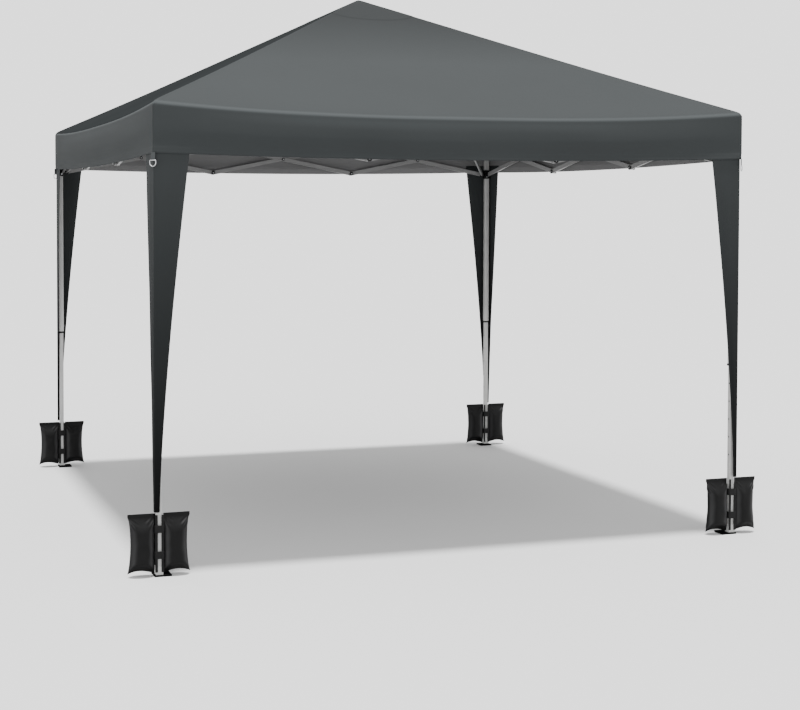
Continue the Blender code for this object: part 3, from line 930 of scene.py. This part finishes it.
def build_truss_bolts(side, crossing):
    """Black bushings and zinc bolt heads on the pivots that a falling bar carries."""
    _, _, outward = side_frame(side)
    top, middle, low = truss_pivots(side, crossing)
    places = [middle]
    if crossing > 1:
        places.append(top)
    if crossing < CROSSINGS:
        places.append(low)
    washers, heads = [], []
    for place in places:
        radius = 0.0095 if place is middle else 0.0130
        washer = bushing(radius, 0.0042, BAR_OUTER_FACE)
        head = dome(0.0038, 0.0022, BAR_OUTER_FACE + 0.004)
        for way in (outward, -outward):
            washers.append((place, way, washer))
            heads.append((place, way, head))
    body = f"{side}_bar_falling_{crossing}"
    placed(lathe_piece(f"bushings_{side}_{crossing}", washers, PLASTIC), body)
    placed(lathe_piece(f"bolts_{side}_{crossing}", heads, ZINC, 6), body)


def rafter_line(corner):
    """(start pivot, unit slope, length to the knee) of the folding rafter from one leg."""
    inward = -corner.normalized()
    start = corner * LEG_AXIS + inward * RAFTER_INSET + Z_AXIS * TOP_PIVOT_Z
    end = -inward * HUB_PIVOT_RADIUS + Z_AXIS * HUB_PIVOT_Z
    return start, (end - start).normalized(), (end - start).length / 2


def build_rafter_bolts(name, corner):
    """Bolt heads on both sides of a rafter, at its knee and where its strut is pinned."""
    start, slope, half = rafter_line(corner)
    across = slope.cross(Z_AXIS).normalized()
    head = dome(0.0065, 0.003, RAFTER_OUTER_FACE)
    shapes = []
    for place in (start + slope * half, start + slope * STRUT_REACH):
        for way in (across, -across):
            shapes.append((place, way, head))
    bolts = lathe_piece("rafter_bolts_" + name, shapes, ZINC, 12)
    placed(bolts, "outer_rafter_" + name)


def build_collar(name, corner):
    """The black end ring of the upper tube, and the spring button above it."""
    centre = corner * LEG_AXIS
    heights = (0.8490, 0.8500, 0.8580, 0.8600)
    half_sizes = (0.0158, 0.0172, 0.0172, 0.0158)
    points, faces = [], []
    for z, half in zip(heights, half_sizes):
        outline = loop_outline(half, 0.003)
        points += [centre + Vector((x, y, z)) for x, y in outline]
    count = len(outline)
    for row in range(len(heights) - 1):
        for column in range(count):
            a, b = row * count + column, row * count + (column + 1) % count
            faces.append((a, b, b + count, a + count))
    collar = mesh_piece("collar_" + name, points, faces, PLASTIC)
    placed(collar, "upper_leg_" + name)
    thicken(collar, 0.0012)
    inward = Vector((-corner.x, 0, 0))
    place = centre + inward * 0.0150 + Z_AXIS * 0.893
    button = lathe_piece("snap_button_" + name, [(place, inward, dome(0.0045, 0.004))], ZINC)
    placed(button, "upper_leg_" + name)


def build_height_holes(name, corner):
    """Black discs down the inner face of the lower tube: painted shade standing in for the adjusting
    holes.
    """
    tube_half, lowest, pitch = 0.0125, 0.40, 0.09
    inward = Vector((-corner.x, 0, 0))
    hole_shade = [(0.0040, -0.0004), (0.0040, 0.0002), (TIP_RADIUS, 0.0002)]
    shapes = []
    for step in range(5):
        place = corner * LEG_AXIS + inward * tube_half + Z_AXIS * (lowest + pitch * step)
        shapes.append((place, inward, hole_shade))
    holes = lathe_piece("height_holes_" + name, shapes, PLASTIC)
    placed(holes, "lower_leg_" + name)


def build_foot_pad(name, corner):
    """The black rubber shoe round the edge and the top of a foot plate."""
    reach, back, top = 0.0560, 0.0230, 0.0074
    off_ground = 0.0002
    middle = LEG_AXIS - (reach - back) / 2
    centre = corner * middle + Z_AXIS * (top / 2 + off_ground)
    half = Vector(((reach + back) / 2, (reach + back) / 2, top / 2))
    pad = box_piece("foot_pad_" + name, [(centre, half, None)], RUBBER, 0.0012)
    placed(pad, "lower_leg_" + name)


def build_slider_latch(name, corner):
    """The pull-pin housing on the inner face of a slider."""
    centre = corner * LEG_AXIS + Z_AXIS * SLIDER_PIVOT_Z
    place = centre + Vector((-corner.x * 0.006, -corner.y * 0.0175, -0.012))
    pin = [(0.0055, 0.0), (0.0055, 0.004), (0.0040, 0.0048), (TIP_RADIUS, 0.0048)]
    shapes = [(place, Vector((0, -corner.y, 0)), pin)]
    latch = lathe_piece("slider_latch_" + name, shapes, ZINC)
    placed(latch, "slider_" + name)


def ring_path(centre, across):
    """A D: half a circle below its centre, closed by a straight bar above."""
    radius, side_top, bar_top, bevel = 0.0155, 0.009, 0.0115, 0.002
    path = []
    for step in range(17):
        angle = math.pi * step / 16
        path.append(centre + across * radius * math.cos(angle) - Z_AXIS * radius * math.sin(angle))
    for out, up in (
        (-radius, side_top),
        (-(radius - bevel), bar_top),
        (radius - bevel, bar_top),
        (radius, side_top),
    ):
        path.append(centre + across * out + Z_AXIS * up)
    return path


def build_corner_ring(name, corner):
    """A webbing tab under the valance's corner with a D-ring for a guy rope."""
    tab_z, ring_z = 1.872, 1.842
    outward = corner.normalized()
    across = outward.cross(Z_AXIS).normalized()
    base = corner * 1.4955
    turn = Matrix((across, outward, Z_AXIS)).transposed()
    middle = base + outward * 0.0005 + Z_AXIS * tab_z
    boxes = [(middle, Vector((0.011, 0.0008, 0.0165)), turn)]
    tab = box_piece("ring_tab_" + name, boxes, TAB, 0.0004)
    placed(tab, "upper_leg_" + name)
    centre = base + outward * 0.0022 + Z_AXIS * ring_z
    ring = wire_piece("d_ring_" + name, ring_path(centre, across), 0.0021, ZINC)
    placed(ring, "upper_leg_" + name)


# ---------------------------------------------------------------- CAD finishes


def finish_cad():
    """Gives every node of the CAD frame its material."""
    for name, node in frame["nodes"].items():
        if name.startswith("upper_leg"):
            material = UPPER_LEG
        elif name.startswith("lower_leg"):
            material = LOWER_LEG
        elif name.startswith("slider") or name in ("center_hub", "peak_cap"):
            material = PLASTIC
        else:
            material = STEEL
        node.data.materials.clear()
        node.data.materials.append(material)


# ---------------------------------------------------------------- studio


def area_light(name, place, target, size, power):
    data = bpy.data.lights.new(name, "AREA")
    data.shape = "DISK"
    data.size = size
    data.energy = power
    light = linked(name, data)
    light.location = place
    light.rotation_euler = (Vector(target) - Vector(place)).to_track_quat("-Z", "Y").to_euler()


def build_studio():
    """A wide pale floor under an even sky, a high soft sun and three soft lamps."""
    half = 60.0
    points = [(-half, -half, 0), (half, -half, 0), (half, half, 0), (-half, half, 0)]
    graph = Graph("studio_floor")
    graph.set(Base_Color=rgba(0.38, 0.38, 0.38), Roughness=1.0, Specular_IOR_Level=0.0)
    floor = mesh_piece("floor", points, [(0, 1, 2, 3)], graph.material)
    floor.location.z = -0.0005
    world = bpy.data.worlds.new("studio")
    world.use_nodes = True
    background = world.node_tree.nodes["Background"]
    background.inputs["Color"].default_value = rgba(1.0, 1.0, 1.0)
    background.inputs["Strength"].default_value = 2.0
    bpy.context.scene.world = world
    data = bpy.data.lights.new("overhead_sun", "SUN")
    data.energy = 10.2
    data.angle = math.radians(5)
    sun = linked("overhead_sun", data)
    sun.rotation_euler = Vector((0.02, 0.05, -1)).to_track_quat("-Z", "Y").to_euler()
    area_light("front_softbox", (-3.0, -5.0, 7.0), (-0.6, -1.2, 2.3), size=2.5, power=70)
    area_light("left_fill", (-9.0, -8.0, 0.9), (-1.5, -1.5, 1.2), size=2.2, power=300)
    area_light("right_fill", (9.0, -3.0, 0.9), (1.0, -1.5, 1.0), size=2.2, power=260)


def build_camera():
    """The camera at standing height, in front of the left leg."""
    data = bpy.data.cameras.new("camera")
    data.sensor_width = 36
    data.lens = 66.6
    data.shift_x = 0.1375
    data.shift_y = -0.11875
    data.clip_end = 200
    camera = linked("camera", data)
    yaw, pitch = 1.2717, -0.0357
    level = math.cos(pitch)
    ahead = Vector((level * math.cos(yaw), level * math.sin(yaw), math.sin(pitch)))
    camera.location = (-2.8431, -7.9127, 1.6467)
    camera.rotation_euler = ahead.to_track_quat("-Z", "Y").to_euler()
    bpy.context.scene.camera = camera


def build_all():
    """Every piece, always in the same order, then the studio and the camera."""
    finish_cad()
    build_canopy()
    pocket, faces = pocket_points()
    for name, corner in CORNERS.items():
        build_drape(name, corner)
        build_bag(name, corner, pocket, faces)
        build_bag_straps(name, corner)
        build_corner_ring(name, corner)
        build_rafter_bolts(name, corner)
        build_collar(name, corner)
        build_height_holes(name, corner)
        build_slider_latch(name, corner)
        build_foot_pad(name, corner)
    for side in SIDES:
        for crossing in range(1, CROSSINGS + 1):
            build_truss_bolts(side, crossing)
    build_studio()
    build_camera()


build_all()
